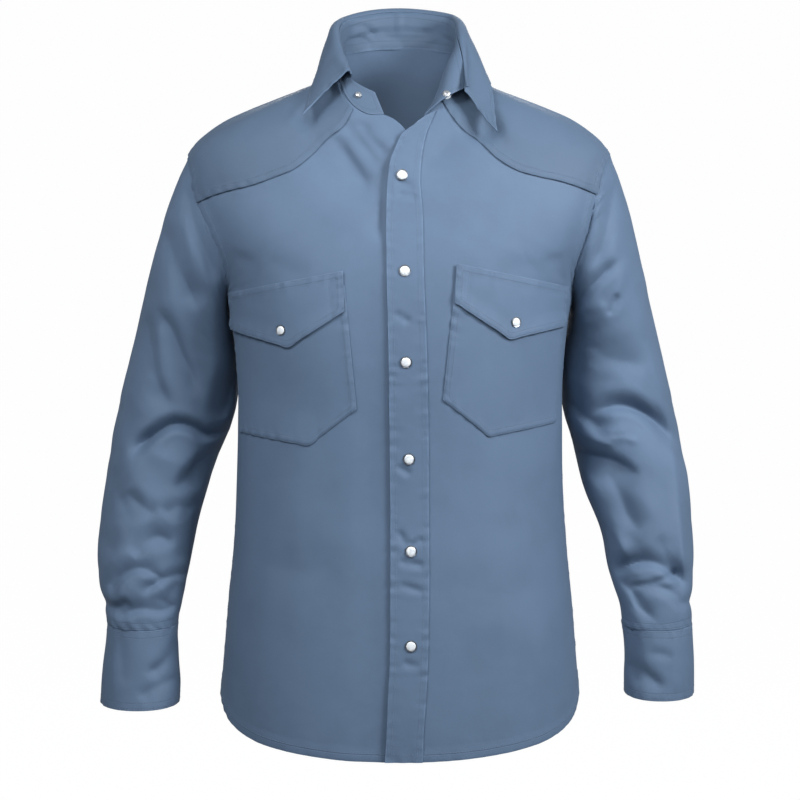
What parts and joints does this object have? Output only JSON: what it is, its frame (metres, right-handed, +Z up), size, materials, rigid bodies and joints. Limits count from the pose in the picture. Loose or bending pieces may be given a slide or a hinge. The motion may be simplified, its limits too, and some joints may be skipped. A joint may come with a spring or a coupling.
{
  "type": "flame-resistant work shirt",
  "caption": "Long-sleeved western work shirt in plain twill, filled out as worn and hollow, with a collar, pointed yokes, flap pockets and snap closures.",
  "frame": {"origin": "between the shoulders at the base of the neck, where the wearer holds the shirt up", "axes": "+Z up, +X towards the wearer's left, the front faces -Y"},
  "size_m": [0.659, 0.271, 0.8252],
  "materials": {
    "twill": "smooth slate-blue twill with a soft satin sheen",
    "pearl": "white pearl snap cap in a thin metal rim",
    "metal": "plain metal snap part"
  },
  "bodies": {
    "root": {"front_left": "twill", "front_right": "twill", "front_placket": "twill", "back": "twill", "back_yoke": "twill", "front_yoke_left": "twill", "front_yoke_right": "twill", "sleeve_left": "twill", "sleeve_right": "twill", "cuff_left": "twill", "cuff_right": "twill", "sleeve_placket_left": "twill", "sleeve_placket_right": "twill", "collar_stand": "twill", "collar_leaf": "twill", "pocket_left": "twill", "pocket_right": "twill", "pocket_flap_left": "twill", "pocket_flap_right": "twill", "front_snap_1": "pearl", "front_snap_2": "pearl", "front_snap_3": "pearl", "front_snap_4": "pearl", "front_snap_5": "pearl", "front_snap_6": "pearl", "flap_snap_left": "pearl", "flap_snap_right": "pearl", "cuff_snap_left": "pearl", "cuff_snap_right": "pearl", "collar_cap": "pearl", "collar_socket": "metal", "collar_stud": "metal"}
  },
  "joints": []
}
